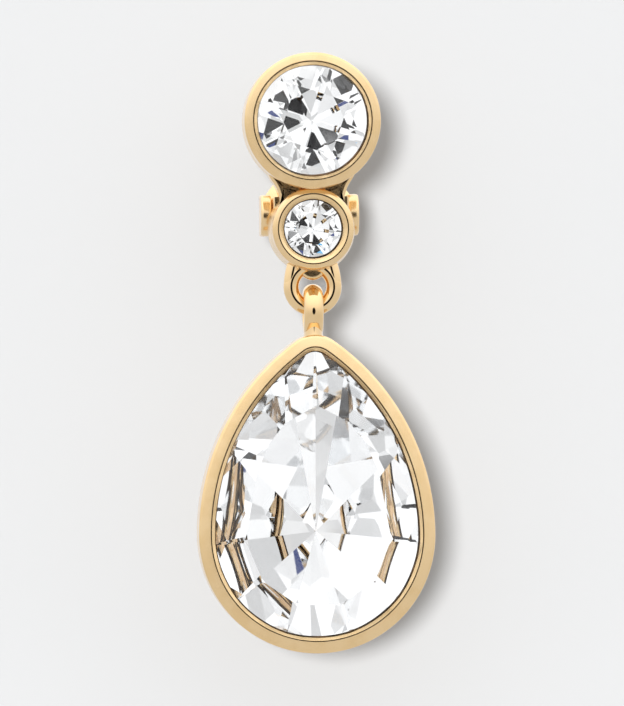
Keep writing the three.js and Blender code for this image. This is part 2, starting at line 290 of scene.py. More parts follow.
@dataclass(frozen=True)
class PearShape:
    """The drop's outline: a bottom arc, two side arcs that start at its level, and a round tip."""

    level: float = -25.4
    bottom: float = 7.26
    side: float = 14.68
    tip: float = 2.0

    @property
    def side_offset(self) -> float:
        """How far to the other side of the middle a side arc's centre lies."""
        return self.side - self.bottom

    @property
    def tip_level(self) -> float:
        """Height of the tip arc's centre, where it meets both side arcs without a corner."""
        return self.level + math.sqrt((self.side - self.tip) ** 2 - self.side_offset**2)

    def at(self, facing: np.ndarray, inset: float = 0.0) -> np.ndarray:
        """Points of the outline that face the given angles.

        A point is its arc's centre + (radius - inset) * (cos facing, sin facing).

        Args:
            facing: angles of the outward normal above +x.
            inset: distance inside the outer wall.

        Returns:
            (n, 2) points.
        """
        facing = np.asarray(facing, float)
        lift = np.arcsin(np.sin(facing))
        right = np.where(np.cos(facing) >= 0, 1.0, -1.0)
        tip_start = math.acos(self.side_offset / (self.side - self.tip))
        on_tip, on_side = lift > tip_start, (lift > 0) & (lift <= tip_start)
        x = np.where(on_side, -right * self.side_offset, 0.0)
        z = np.where(on_tip, self.tip_level, self.level)
        radius = np.where(on_tip, self.tip, np.where(on_side, self.side, self.bottom)) - inset
        return np.stack([x + radius * np.cos(facing), z + radius * np.sin(facing)], -1)

    def outline(self, tip_steps: int = 18, side_steps: int = 64, bottom_steps: int = 72) -> Outline:
        """The whole outline, anticlockwise from its lowest point.

        Args:
            tip_steps: points on each half of the tip arc.
            side_steps: points on each side arc.
            bottom_steps: points on each half of the bottom arc.

        Returns:
            The outline.
        """
        tip_start = math.acos(self.side_offset / (self.side - self.tip))
        right = np.concatenate(
            [
                np.linspace(-np.pi / 2, 0, bottom_steps, endpoint=False),
                np.linspace(0, tip_start, side_steps, endpoint=False),
                np.linspace(tip_start, np.pi / 2, tip_steps, endpoint=False),
            ]
        )
        facing = np.concatenate([right, [np.pi / 2], (np.pi - right[:0:-1])])
        normals = np.stack([np.cos(facing), np.sin(facing)], 1)
        return Outline(self.at(facing), normals, np.array([0.0, self.level + 0.8]))


# ---- shader nodes ----


class NodeSketch:
    """Adds and links shader nodes in one tree."""

    def __init__(self, tree: bpy.types.NodeTree) -> None:
        """Keeps the tree that nodes are added to.

        Args:
            tree: a material's, world's or group's node tree.
        """
        self.tree = tree

    def add(self, kind: str, settings: dict | None = None, **inputs: object) -> bpy.types.Node:
        """Adds a node.

        Args:
            kind: the node's Blender type.
            settings: properties of the node.
            **inputs: values or output sockets by input name, with _ for a space.

        Returns:
            The node.
        """
        node = self.tree.nodes.new(kind)
        for key, value in (settings or {}).items():
            setattr(node, key, value)
        for key, value in inputs.items():
            self.feed(node, key.replace("_", " "), value)
        return node

    def feed(self, node: bpy.types.Node, key: str | int, value: object) -> None:
        """Sets or links one input, found by name or number."""
        socket = node.inputs[key]
        if isinstance(value, bpy.types.NodeSocket):
            self.tree.links.new(value, socket)
        else:
            socket.default_value = value

    def maths(self, operation: str, first: object, second: object = 0.0) -> bpy.types.NodeSocket:
        """The result of a Math node."""
        node = self.add("ShaderNodeMath", {"operation": operation})
        self.feed(node, 0, first)
        self.feed(node, 1, second)
        return node.outputs[0]

    def ramp(
        self, value: object, low: float, high: float, to_low: float, to_high: float
    ) -> bpy.types.NodeSocket:
        """Value mapped smoothly from low..high to to_low..to_high."""
        node = self.add("ShaderNodeMapRange", {"interpolation_type": "SMOOTHSTEP"})
        limits = {"From Min": low, "From Max": high, "To Min": to_low, "To Max": to_high}
        for key, given in {"Value": value, **limits}.items():
            self.feed(node, key, given)
        return node.outputs["Result"]

    def blend(self, mask: object, first: object, second: object) -> bpy.types.NodeSocket:
        """Two colours mixed by a mask."""
        node = self.add("ShaderNodeMix", {"data_type": "RGBA"})
        self.feed(node, 0, mask)
        self.feed(node, 6, first)
        self.feed(node, 7, second)
        return node.outputs[2]


def new_group(
    name: str, inputs: dict[str, str], outputs: dict[str, str]
) -> tuple[bpy.types.NodeTree, NodeSketch]:
    """A shader node group with named sockets.

    Args:
        name: the group's name.
        inputs: socket types by input name.
        outputs: socket types by output name.

    Returns:
        The group and a sketch that adds to it.
    """
    tree = bpy.data.node_groups.new(name, "ShaderNodeTree")
    for in_out, sockets in (("INPUT", inputs), ("OUTPUT", outputs)):
        for socket, kind in sockets.items():
            tree.interface.new_socket(name=socket, in_out=in_out, socket_type=kind)
    return tree, NodeSketch(tree)


def brushing_group() -> bpy.types.NodeTree:
    """Fine lines left by a polishing wheel, in the UV map's millimetres, along the first axis.

    Height is noise stretched along u. Wear is a slow patchy mask from 0 to 1.
    """
    tree, sketch = new_group(
        "WheelBrushing",
        {"UV": "NodeSocketVector", "Lines Per Mm": "NodeSocketFloat", "Run Per Mm": "NodeSocketFloat"},
        {"Height": "NodeSocketFloat", "Wear": "NodeSocketFloat"},
    )
    given = sketch.add("NodeGroupInput")
    given_out = given.outputs
    parts = sketch.add("ShaderNodeSeparateXYZ", Vector=given_out["UV"])
    run = sketch.maths("MULTIPLY", parts.outputs["X"], given_out["Run Per Mm"])
    lines = sketch.maths("MULTIPLY", parts.outputs["Y"], given_out["Lines Per Mm"])
    stretched = sketch.add("ShaderNodeCombineXYZ", X=run, Y=lines)
    fine = sketch.add("ShaderNodeTexNoise", Vector=stretched.outputs[0], Scale=1.0, Detail=3.0)
    patchy = sketch.add("ShaderNodeTexNoise", Vector=given_out["UV"], Scale=0.7, Detail=4.0, Roughness=0.55)
    wear = sketch.ramp(patchy.outputs["Fac"], 0.38, 0.66, 0.0, 1.0)
    sketch.add("NodeGroupOutput", Height=fine.outputs["Fac"], Wear=wear)
    return tree


def profile_band_group() -> bpy.types.NodeTree:
    """A stretch of the UV map's second coordinate: 1 between start and end, else 0."""
    tree, sketch = new_group(
        "ProfileBand",
        {"UV": "NodeSocketVector", "Start": "NodeSocketFloat", "End": "NodeSocketFloat"},
        {"Mask": "NodeSocketFloat"},
    )
    given = sketch.add("NodeGroupInput").outputs
    place = sketch.add("ShaderNodeSeparateXYZ", Vector=given["UV"]).outputs["Y"]
    past = sketch.maths("GREATER_THAN", place, given["Start"])
    short = sketch.maths("LESS_THAN", place, given["End"])
    sketch.add("NodeGroupOutput", Mask=sketch.maths("MULTIPLY", past, short))
    return tree


def soft_patch_group() -> bpy.types.NodeTree:
    """A round soft-edged patch on the sky: 1 where the direction lies near its centre, else 0."""
    tree, sketch = new_group(
        "SoftPatch",
        {
            "Direction": "NodeSocketVector",
            "Centre": "NodeSocketVector",
            "Edge": "NodeSocketFloat",
            "Core": "NodeSocketFloat",
        },
        {"Mask": "NodeSocketFloat"},
    )
    given = sketch.add("NodeGroupInput").outputs
    aim = sketch.add("ShaderNodeVectorMath", {"operation": "DOT_PRODUCT"})
    sketch.feed(aim, 0, given["Direction"])
    sketch.feed(aim, 1, given["Centre"])
    mask = sketch.ramp(aim.outputs["Value"], 0.0, 1.0, 0.0, 1.0)
    mapped = mask.node
    sketch.feed(mapped, "From Min", given["Edge"])
    sketch.feed(mapped, "From Max", given["Core"])
    sketch.add("NodeGroupOutput", Mask=mask)
    return tree


# ---- finishes ----


@dataclass(frozen=True)
class GoldFinish:
    """Gold plate: satin from the wheel, or polished."""

    name: str
    roughness: tuple[float, float]
    line_depth: float
    lines_per_mm: float = 26.0
    run_per_mm: float = 0.5
    bright: tuple[float, float, float, float] = (0.875, 0.645, 0.365, 1.0)
    deep: tuple[float, float, float, float] = (0.85, 0.61, 0.325, 1.0)
    # painted shade: near-black brown for the groove and the cavity past the lip's edge
    painted_shade: tuple[float, float, float, float] = (0.028, 0.014, 0.006, 1.0)

    def material(
        self, brushing: bpy.types.NodeTree, band: bpy.types.NodeTree, painted_shade_bands: list[tuple[float, float]]
    ) -> bpy.types.Material:
        """The metal: tone and roughness follow the wear mask, the bump follows the wheel lines, and bands
        of painted shade darken the groove and the lip's edge.

        Args:
            brushing: the shared WheelBrushing group.
            band: the shared ProfileBand group.
            painted_shade_bands: stretches of the UV map's second coordinate painted dark as shade, in the
                groove and past the lip's edge.

        Returns:
            The material.
        """
        made = bpy.data.materials.new(self.name)
        made.use_nodes = True
        shader = made.node_tree.nodes["Principled BSDF"]
        sketch = NodeSketch(made.node_tree)
        uv = sketch.add("ShaderNodeUVMap", {"uv_map": "UVMap"})
        lines = sketch.add("ShaderNodeGroup", {"node_tree": brushing}, UV=uv.outputs["UV"])
        sketch.feed(lines, "Lines Per Mm", self.lines_per_mm)
        sketch.feed(lines, "Run Per Mm", self.run_per_mm)
        shader.inputs["Metallic"].default_value = 1.0
        wear, height = lines.outputs["Wear"], lines.outputs["Height"]
        tone = sketch.blend(wear, self.bright, self.deep)
        # painted shade: each band mixes the tone towards near-black where the groove and lip edge lie in
        # shadow
        for start, end in painted_shade_bands:
            dark = sketch.add("ShaderNodeGroup", {"node_tree": band}, UV=uv.outputs["UV"])
            sketch.feed(dark, "Start", start)
            sketch.feed(dark, "End", end)
            tone = sketch.blend(dark.outputs["Mask"], tone, self.painted_shade)
        sketch.feed(shader, "Base Color", tone)
        sketch.feed(shader, "Roughness", sketch.ramp(wear, 0.0, 1.0, *self.roughness))
        bump = sketch.add("ShaderNodeBump", Strength=1.0, Distance=self.line_depth * MM, Height=height)
        sketch.feed(shader, "Normal", bump.outputs["Normal"])
        return made


@dataclass(frozen=True)
class SeamShadeFinish:
    """Painted shade: a dark fill in the seam round a crystal, standing where the lip's shadow falls."""

    dark: tuple[float, float, float, float] = (0.02, 0.013, 0.008, 1.0)
    brown: tuple[float, float, float, float] = (0.13, 0.075, 0.038, 1.0)

    def material(self) -> bpy.types.Material:
        """Dull and dark, browner in slow patches of object space."""
        made = bpy.data.materials.new("painted_seam_shade")
        made.use_nodes = True
        shader = made.node_tree.nodes["Principled BSDF"]
        sketch = NodeSketch(made.node_tree)
        place = sketch.add("ShaderNodeTexCoord")
        noise = sketch.add("ShaderNodeTexNoise", Vector=place.outputs["Object"], Scale=500.0, Detail=3.0)
        mask = sketch.ramp(noise.outputs["Fac"], 0.4, 0.65, 0.0, 1.0)
        sketch.feed(shader, "Base Color", sketch.blend(mask, self.dark, self.brown))
        sketch.feed(shader, "Roughness", sketch.ramp(mask, 0.0, 1.0, 0.5, 0.7))
        shader.inputs["Specular IOR Level"].default_value = 0.3
        return made


@dataclass(frozen=True)
class CrystalFinish:
    """Lead crystal, clear in front, with a metal coat behind and round its edge."""

    index: float = 1.56
    haze: tuple[float, float] = (0.0, 0.012)
    foil_tone: tuple[float, float, float, float] = (0.95, 0.955, 0.96, 1.0)
    foil_roughness: tuple[float, float] = (0.01, 0.035)

    @staticmethod
    def _polish_marks(sketch: NodeSketch) -> bpy.types.NodeSocket:
        """Slow noise in object space, for how well each stretch of a facet is polished."""
        place = sketch.add("ShaderNodeTexCoord")
        noise = sketch.add("ShaderNodeTexNoise", Vector=place.outputs["Object"], Scale=900.0, Detail=3.0)
        return noise.outputs["Fac"]

    def clear(self) -> bpy.types.Material:
        """The clear crystal of table, crown and girdle."""
        made = bpy.data.materials.new("clear_crystal")
        made.use_nodes = True
        shader = made.node_tree.nodes["Principled BSDF"]
        sketch = NodeSketch(made.node_tree)
        shader.inputs["Base Color"].default_value = (1.0, 1.0, 1.0, 1.0)
        shader.inputs["Transmission Weight"].default_value = 1.0
        shader.inputs["IOR"].default_value = self.index
        sketch.feed(shader, "Roughness", sketch.ramp(self._polish_marks(sketch), 0.45, 0.75, *self.haze))
        return made

    def foil(self, name: str) -> bpy.types.Material:
        """A metal coat on the crystal's back or edge.

        Args:
            name: the material's name.

        Returns:
            The material.
        """
        made = bpy.data.materials.new(name)
        made.use_nodes = True
        shader = made.node_tree.nodes["Principled BSDF"]
        sketch = NodeSketch(made.node_tree)
        shader.inputs["Base Color"].default_value = self.foil_tone
        shader.inputs["Metallic"].default_value = 1.0
        marks = self._polish_marks(sketch)
        sketch.feed(shader, "Roughness", sketch.ramp(marks, 0.3, 0.7, *self.foil_roughness))
        return made


SATIN = (0.19, 0.24)
POLISHED = (0.04, 0.09)


@dataclass
class Palette:
    """Every material of the earring, made once."""

    brushing: bpy.types.NodeTree = field(default_factory=brushing_group)
    band: bpy.types.NodeTree = field(default_factory=profile_band_group)

    def __post_init__(self) -> None:
        """Makes the materials from the shared groups."""
        self.satin = self._gold(GoldFinish("satin_gold", SATIN, 0.0016), [])
        self.polished = self._gold(GoldFinish("polished_gold", POLISHED, 0.0004), [])
        # painted shade: the dark fill for the seams round the crystals
        self.seam_shade = SeamShadeFinish().material()
        stone = CrystalFinish()
        edge = CrystalFinish(foil_tone=(0.84, 0.6, 0.37, 1.0), foil_roughness=(0.12, 0.25))
        self.stone = (stone.clear(), stone.foil("silver_foil"), edge.foil("gold_edge"))

    def rim(self, name: str, painted_shade_bands: list[tuple[float, float]]) -> bpy.types.Material:
        """Satin gold with painted shade in its groove and past its lip's edge.

        Args:
            name: the cup that it is for.
            painted_shade_bands: its stretches of painted shade.

        Returns:
            The material.
        """
        return self._gold(GoldFinish(f"satin_gold_{name}", SATIN, 0.0016), painted_shade_bands)

    def _gold(self, finish: GoldFinish, painted_shade_bands: list[tuple[float, float]]) -> bpy.types.Material:
        """A gold finish's material, made with the shared groups."""
        return finish.material(self.brushing, self.band, painted_shade_bands)


# ---- bookkeeping ----


def settle(
    piece: bpy.types.Object, body: str, node: str, finish: Finish, *materials: bpy.types.Material
) -> None:
    """Dresses a piece, hangs it on its body and reports it.

    Args:
        piece: the new object.
        body: the CAD body it moves with.
        node: the CAD node it stands for.
        finish: the record slot of its finish; not used.
        *materials: its material slots, in order.
    """
    for material in materials:
        piece.data.materials.append(material)
    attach(piece, body)
    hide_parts(node)
    LOG.info("%s: %d faces on body %s", piece.name, len(piece.data.polygons), body)


# ---- crystals ----


def cut_stone(name: str, normals: np.ndarray, offsets: np.ndarray, centre: np.ndarray) -> bpy.types.Object:
    """The solid behind a set of facet planes n . p = d, cut as a lapidary cuts it.

    A corner is where three planes meet, by Cramer's rule: (d1 n2xn3 + d2 n3xn1 + d3 n1xn2) over
    n1 . n2xn3. It is kept if it lies behind all planes. A facet is its plane's corners in the
    order of their angle about its middle.

    Args:
        name: the piece's name.
        normals: (n, 3) unit normals, pointing out.
        offsets: (n,) distances from the stone's centre.
        centre: the stone's centre in millimetres.

    Returns:
        The new object. Facets that face back take material slot 1, the girdle's slot 2, and the
        others slot 0.
    """
    triples = np.array(list(itertools.combinations(range(len(normals)), 3)))
    n1, n2, n3 = (normals[triples[:, k]] for k in range(3))
    d1, d2, d3 = (offsets[triples[:, k]][:, None] for k in range(3))
    across = np.cross(n2, n3)
    volume = np.einsum("ij,ij->i", n1, across)
    meet = np.abs(volume) > 1e-6
    points = (d1 * across + d2 * np.cross(n3, n1) + d3 * np.cross(n1, n2))[meet] / volume[meet][:, None]
    for normal, offset in zip(normals, offsets):
        points = points[points @ normal <= offset + 1e-7]
    points = np.unique(points.round(5), axis=0)
    faces, backs = [], []
    for normal, offset in zip(normals, offsets):
        on_plane = np.flatnonzero(np.abs(points @ normal - offset) < 3e-5)
        if len(on_plane) < 3:
            continue
        spread = points[on_plane] - points[on_plane].mean(0)
        side = np.cross(normal, [0.123, 0.456, 0.789])
        side /= np.linalg.norm(side)
        angle = np.arctan2(spread @ np.cross(normal, side), spread @ side)
        faces.append(on_plane[np.argsort(angle)].tolist())
        backs.append(2 if abs(normal[1]) < 0.05 else int(normal[1] > 0))
    mesh = bpy.data.meshes.new(name)
    mesh.from_pydata(((points + centre) * MM).tolist(), [], faces)
    mesh.polygons.foreach_set("material_index", np.array(backs, dtype=np.int32))
    mesh.shade_flat()
    mesh.update()
    made = bpy.data.objects.new(name, mesh)
    bpy.context.scene.collection.objects.link(made)
    return made


@dataclass
class FacetPlanes:
    """Gathers the planes of a stone, whose girdle lies across y at its centre."""

    normals: list[np.ndarray] = field(default_factory=list)
    offsets: list[np.ndarray] = field(default_factory=list)

    def tier(self, facing: np.ndarray, edge: np.ndarray, depth: float, slope: np.ndarray | float) -> None:
        """Adds a tier of facets.

        Each normal is (sin slope cos facing, +-cos slope, sin slope sin facing), and its plane
        goes through its edge point.

        Args:
            facing: (n,) directions of the facets round the stone.
            edge: (n, 2) x and z of a point on each facet.
            depth: y of that point; facets in front of the middle face forward.
            slope: angle between a facet and the girdle plane.
        """
        slope = np.broadcast_to(slope, facing.shape)
        towards = math.copysign(1.0, depth)
        normal = np.stack(
            [np.sin(slope) * np.cos(facing), towards * np.cos(slope), np.sin(slope) * np.sin(facing)], 1
        )
        point = np.stack([edge[:, 0], np.full(len(edge), depth), edge[:, 1]], 1)
        self.normals.append(normal)
        self.offsets.append(np.einsum("ij,ij->i", normal, point))

    def build(self, name: str, centre: np.ndarray) -> bpy.types.Object:
        """Cuts the stone from the gathered planes."""
        return cut_stone(name, np.vstack(self.normals), np.concatenate(self.offsets), centre)


@dataclass
class RoundBrilliant:
    """A round crystal: table, 8 stars, 8 mains, 16 halves, girdle, and the pavilion behind."""

    name: str
    radius: float
    seat: float
    height: float
    turn: float = 0.0
    crown: float = math.radians(36)
    star: float = math.radians(21)
    pavilion: float = math.radians(41)
    table: float = 0.52
    girdle: float = 0.04
    lower_halves: float = math.radians(46)
    ridge_flat: float = 0.022

    def build(self) -> bpy.types.Object:
        """Works out the tiers and cuts the stone.

        A star's slope is given. A half passes through the girdle and the star's lower point, which
        lies where the star meets the two mains beside it, at rho = t (tan c - tan s cos e) /
        (cos e tan c - tan s) for table radius t and e an eighth of half a turn.

        Returns:
            The stone's object.
        """
        r, half_girdle = self.radius, self.radius * self.girdle
        eighth = np.pi / 8
        mains = self.turn + np.arange(8) * 2 * eighth
        stars = mains + eighth
        halves = self.turn + (np.arange(16) + 0.5) * eighth
        edge_ring = self.turn + (np.arange(64) + 0.5) * np.pi / 32
        tan_crown, tan_star = math.tan(self.crown), math.tan(self.star)
        table_radius = self.table * r
        rise = (r - table_radius) * tan_crown
        star_reach = table_radius * (tan_crown - tan_star * math.cos(eighth))
        star_reach /= math.cos(eighth) * tan_crown - tan_star
        star_height = (r - star_reach * math.cos(eighth)) * tan_crown
        half_slope = math.atan(star_height / (r - star_reach * math.cos(eighth / 2)))
        planes = FacetPlanes()
        front, behind = -half_girdle, half_girdle
        planes.tier(np.zeros(1), np.zeros((1, 2)), front - rise, 0.0)
        planes.tier(mains, self._ring(mains, r), front, self.crown)
        planes.tier(stars, self._ring(stars, table_radius * math.cos(eighth)), front - rise, self.star)
        planes.tier(halves, self._ring(halves, r), front, half_slope)
        planes.tier(edge_ring, self._ring(edge_ring, r), behind, np.pi / 2)
        planes.tier(mains, self._ring(mains, r), behind, self.pavilion)
        planes.tier(halves, self._ring(halves, r), behind, self.lower_halves)
        ridge = math.atan(math.tan(self.pavilion) * math.cos(eighth))
        ridge_radius = r / math.cos(eighth) - self.ridge_flat * r
        planes.tier(stars, self._ring(stars, ridge_radius), behind, ridge)
        return planes.build(self.name, np.array([0.0, self.seat, self.height]))

    @staticmethod
    def _ring(facing: np.ndarray, radius: float) -> np.ndarray:
        """Points on a circle in the girdle plane."""
        return radius * np.stack([np.cos(facing), np.sin(facing)], 1)


@dataclass
class PearCut:
    """The drop's crystal: pear table, two crown tiers, girdle, and a pavilion drawn to a point."""

    shape: PearShape
    name: str = "pear_crystal"
    inset: float = 0.8
    seat: float = -3.5
    half_girdle: float = 0.1
    culet_level: float = -25.2
    rise: float = 1.45
    depth: float = 3.5
    crown: float = math.radians(33)
    tip_crown: float = math.radians(24)
    crown_halves: float = math.radians(39)
    star: float = math.radians(17)

    def build(self) -> bpy.types.Object:
        """Works out the tiers and cuts the stone.

        Returns:
            The stone's object.
        """
        centre = np.array([0.0, self.seat, self.culet_level])
        right = np.radians([38.0, 10.0, -22.0, -55.0])
        mains = np.concatenate([right, np.pi - right, [-np.pi / 2]])
        tips = np.radians([62.0, 118.0])
        half_right = np.radians([50.0, 30.0, 18.0, 2.0, -12.0, -30.0, -46.0, -64.0, -80.0])
        halves = np.concatenate([half_right, np.pi - half_right])
        star_right = np.radians([24.0, -6.0, -38.0, -73.0])
        stars = np.concatenate([star_right, np.pi - star_right, [np.pi / 2]])
        edge_ring = np.radians(np.arange(48) * 7.5)
        planes = FacetPlanes()
        front, behind = -self.half_girdle, self.half_girdle
        planes.tier(np.zeros(1), np.zeros((1, 2)), front - self.rise, 0.0)
        planes.tier(mains, self._edge(mains), front, self.crown)
        planes.tier(tips, self._edge(tips), front, self.tip_crown)
        planes.tier(halves, self._edge(halves), front, self.crown_halves)
        table_inset = self.rise / math.tan(self.crown)
        planes.tier(stars[:-1], self._edge(stars[:-1], table_inset * 0.95), front - self.rise, self.star)
        planes.tier(edge_ring, self._edge(edge_ring), behind, np.pi / 2)
        below = np.concatenate([mains, tips])
        for facing, extra in ((below, 0.0), (halves, math.radians(7.0))):
            edge = self._edge(facing)
            reach = edge[:, 0] * np.cos(facing) + edge[:, 1] * np.sin(facing)
            planes.tier(facing, edge, behind, np.arctan(self.depth / reach) + extra)
        return planes.build(self.name, centre)

    def _edge(self, facing: np.ndarray, further: float = 0.0) -> np.ndarray:
        """Girdle points that face the given angles, from the culet."""
        return self.shape.at(facing, self.inset + further) - [0.0, self.culet_level]


# ---- cups ----


@dataclass
class CupSection:
    """Section of a cup's metal, from the middle of its back round to the middle of its cavity.

    The face slopes back from a fine crest to the outer wall. A groove parts the crest from the
    inner ring, whose bevel falls to the lip that overhangs the crystal's girdle.
    """

    face: float
    rear: float
    crest: float
    lip: float
    wall: float
    seat: float
    floor: float
    flare: float = 0.0
    tilt: float = 0.13
    groove: float = 0.06
    groove_depth: float = 0.16
    bevel_drop: float = 0.2

    def line(self) -> np.ndarray:
        """The section as rows of inset and depth."""
        corners = np.array(
            [
                [0.8 - self.flare, self.rear],
                [0.42 - self.flare, self.rear],
                [-self.flare, self.rear - 0.42],
                [0.0, self.face + 0.8],
                [0.0, self.face + self.tilt + 0.12],
                [0.1, self.face + self.tilt - 0.02],
                [self.crest, self.face],
                [self.crest + self.groove / 2, self.face + self.groove_depth],
                [self.crest + self.groove, self.face + 0.03],
                [self.lip - 0.04, self.face + self.bevel_drop],
                [self.lip, self.face + self.bevel_drop + 0.05],
                [self.lip, self.seat - 0.22],
                [self.wall, self.seat - 0.1],
                [self.wall, self.floor - 0.1],
                [self.wall + 0.3, self.floor],
            ]
        )
        outside = [0, 0.2, 0.2, 0.3, 0.09, 0.09]
        inside = [0.03, 0.01, 0.03, 0.02, 0.02, 0.02, 0.02, 0.05, 0]
        return eased(corners, np.array(outside + inside))

    def profile(self) -> np.ndarray:
        """Rows of inset, scale and depth for Outline.solid."""
        line = self.line()
        return np.column_stack([line[:, 0], np.ones(len(line)), line[:, 1]])

    def painted_shade_bands(self) -> list[tuple[float, float]]:
        """Where the UV map's second coordinate runs through the groove and past the lip's edge, the
        stretches that are painted dark as shade.

        Returns:
            Start and end of each stretch of painted shade in millimetres.
        """
        line = self.line()
        length = running_length(line, closed=False)
        middle = np.interp(self.crest + self.groove / 2, line[35:50, 0], length[35:50])
        edge = length[np.argmin(np.hypot(*(line - [self.lip, self.face + self.bevel_drop + 0.05]).T))]
        return [(middle - self.groove_depth * 0.8, middle + self.groove_depth * 0.7), (edge, edge + 0.12)]


def edge_line(name: str, outline: Outline, section: CupSection) -> bpy.types.Object:
    """A dark ring of painted shade between a cup's lip and its crystal, wider at the lower right where the
    shade falls.

    Its half width is w = 0.032 + 0.024 cos(a), where a is the angle between the outline's normal and
    the lower right, and its middle runs w inside the lip.

    Args:
        name: the piece's name.
        outline: the cup's outline.
        section: the cup's section.

    Returns:
        The new object.
    """
    lower_right = np.array([math.cos(math.radians(-35)), math.sin(math.radians(-35))])
    half = 0.032 + 0.024 * (outline.normals @ lower_right)
    flat = outline.points - (section.lip + half * 0.8)[:, None] * outline.normals
    depth = section.face + section.bevel_drop + 0.02
    path = np.stack([flat[:, 0], np.full(len(flat), depth), flat[:, 1]], 1)
    ring = disc(1.0, (0.0, 0.0), 16).points
    return tube(name, path, half[:, None, None] * ring * [1.0, 0.8], closed=True).build()


@dataclass
class DoubleSetting:
    """The casting that holds both round crystals: cups, web, loop ring and hinge ears."""

    palette: Palette
    body: str = "setting"
    node: str = "double_setting"
    large_radius: float = 4.19
    small_radius: float = 2.51
    small_height: float = -6.62
    ring_height: float = -10.16
    shoulder_top: float = -8.6
    gusset: float = 0.9
    ring_radius: float = 1.32
    wire: float = 0.475
    swing: float = -1.55
    hinge: tuple[float, float] = (1.35, -5.7)

    def build(self) -> None:
        """Makes every piece of the casting and both of its crystals."""
        large = CupSection(face=-4.4, rear=0.0, crest=0.53, lip=0.81, wall=0.58, seat=-3.9, floor=-0.45)
        small = CupSection(face=-3.5, rear=-0.2, crest=0.33, lip=0.73, wall=0.51, seat=-3.1, floor=-1.1)
        small.flare, small.tilt = 0.19, 0.1
        cups = [
            (disc(self.large_radius, (0.0, 0.0)), large, "large_cup"),
            (disc(self.small_radius, (0.0, self.small_height)), small, "small_cup"),
        ]
        for outline, section, name in cups:
            cup = outline.solid(name, section.profile(), View.FRONT).build()
            # painted shade in each rim's groove and past its lip's edge
            settle(cup, self.body, self.node, Finish.CASTING, self.palette.rim(name, section.painted_shade_bands()))
            # painted shade: a dark ring in the seam between the lip and the crystal
            line = edge_line(f"{name}_edge_line", outline, section)
            settle(line, self.body, self.node, Finish.CASTING, self.palette.seam_shade)
        polished = [self._loop_ring()]
        polished += [self._shoulder("left_shoulder", -1), self._shoulder("right_shoulder", 1)]
        ears = [self._ear("left_hinge_ear", -1), self._ear("right_hinge_ear", 1)]
        ears += [self._web("left_neck_web", -1), self._web("right_neck_web", 1), self._gusset()]
        for piece in polished:
            settle(piece, self.body, self.node, Finish.CASTING, self.palette.polished)
        for piece in ears:
            settle(piece, self.body, self.node, Finish.CASTING, self.palette.satin)
        stones = [
            RoundBrilliant("large_round_crystal_cut", 3.56, -3.9, 0.0, turn=math.radians(4)),
            RoundBrilliant("small_round_crystal_cut", 1.95, -3.1, self.small_height, turn=math.radians(13)),
        ]
        nodes = ["large_round_crystal", "small_round_crystal"]
        for stone, node in zip(stones, nodes):
            settle(stone.build(), self.body, node, Finish.CRYSTAL, *self.palette.stone)
        pin = tube("hinge_pin_rod", self._pin_line(), disc(0.4, (0.0, 0.0), 32).points, closed=False)
        settle(pin.build(), self.body, "hinge_pin", Finish.CLIP, self.palette.polished)

    def _web(self, name: str, side: int) -> bpy.types.Object:
        """One side of the web behind the waist: it follows both cups, and its outer edge is drawn in."""
        outer = np.array([[1.95, -5.5], [2.0, -4.6], [2.2, -4.0], [2.6, -3.4], [2.95, -2.6]])
        large = math.hypot(*outer[-1])
        t = np.linspace(math.atan2(outer[-1, 1], outer[-1, 0]), math.radians(-81), 12)
        upper = large * np.stack([np.cos(t), np.sin(t)], 1)
        small = math.hypot(outer[0, 0], outer[0, 1] - self.small_height)
        t = np.linspace(math.radians(75), math.atan2(outer[0, 1] - self.small_height, outer[0, 0]), 12)
        lower = small * np.stack([np.cos(t), np.sin(t)], 1) + [0.0, self.small_height]
        edge = eased(outer, np.array([0, 0.25, 0.25, 0.3, 0]), 8)
        points = np.vstack([edge, upper[1:], lower[:-1]])
        if side < 0:
            points = points[::-1] * [-1, 1]
        outline = Outline.through(points, (side * 1.75, -4.05))
        return outline.solid(name, slab_profile(-0.3, -2.4, 0.22), View.FRONT).build()

    def _loop_ring(self) -> bpy.types.Object:
        """The loop ring: a round wire carried round a circle in the plane of the crystals."""
        circle = disc(self.ring_radius, (0.0, self.ring_height), 128).points
        path = np.stack([circle[:, 0], np.full(len(circle), self.swing), circle[:, 1]], 1)
        return tube("loop_ring", path, disc(self.wire, (0.0, 0.0), 40).points, closed=True).build()

    def _gusset(self) -> bpy.types.Object:
        """The rounded gusset that closes the top of the ring, under the small cup."""
        outline = disc(self.gusset, (0.0, self.shoulder_top - 0.25), 96)
        depth = self.wire - 0.12
        profile = slab_profile(self.swing + depth, self.swing - depth, 0.25)
        return outline.solid("ring_gusset", profile, View.FRONT).build()

    def _shoulder(self, name: str, side: int) -> bpy.types.Object:
        """The shoulder that runs from one side of the ring up into the small cup."""
        start = [self.ring_radius, self.ring_height - 0.1]
        corners = np.array([start, [1.3, -9.6], [1.06, self.shoulder_top]])
        line = eased(corners, np.array([0, 0.4, 0]), 16)
        path = np.stack([side * line[:, 0], np.full(len(line), self.swing), line[:, 1]], 1)
        return tube(name, path, disc(self.wire - 0.01, (0.0, 0.0), 40).points, closed=False).build()

    def _ear(self, name: str, side: int) -> bpy.types.Object:
        """One ear of the hinge: a plate with a round end about the pin."""
        outline = lobe(self.hinge, 1.1, -1.2)
        return plate(name, outline, side * 1.65, side * 2.32, 0.12)

    def _pin_line(self) -> np.ndarray:
        """The pin's axis from end to end."""
        return np.array([[x, self.hinge[0], self.hinge[1]] for x in (-2.96, -2.9, 0.0, 2.9, 2.96)])


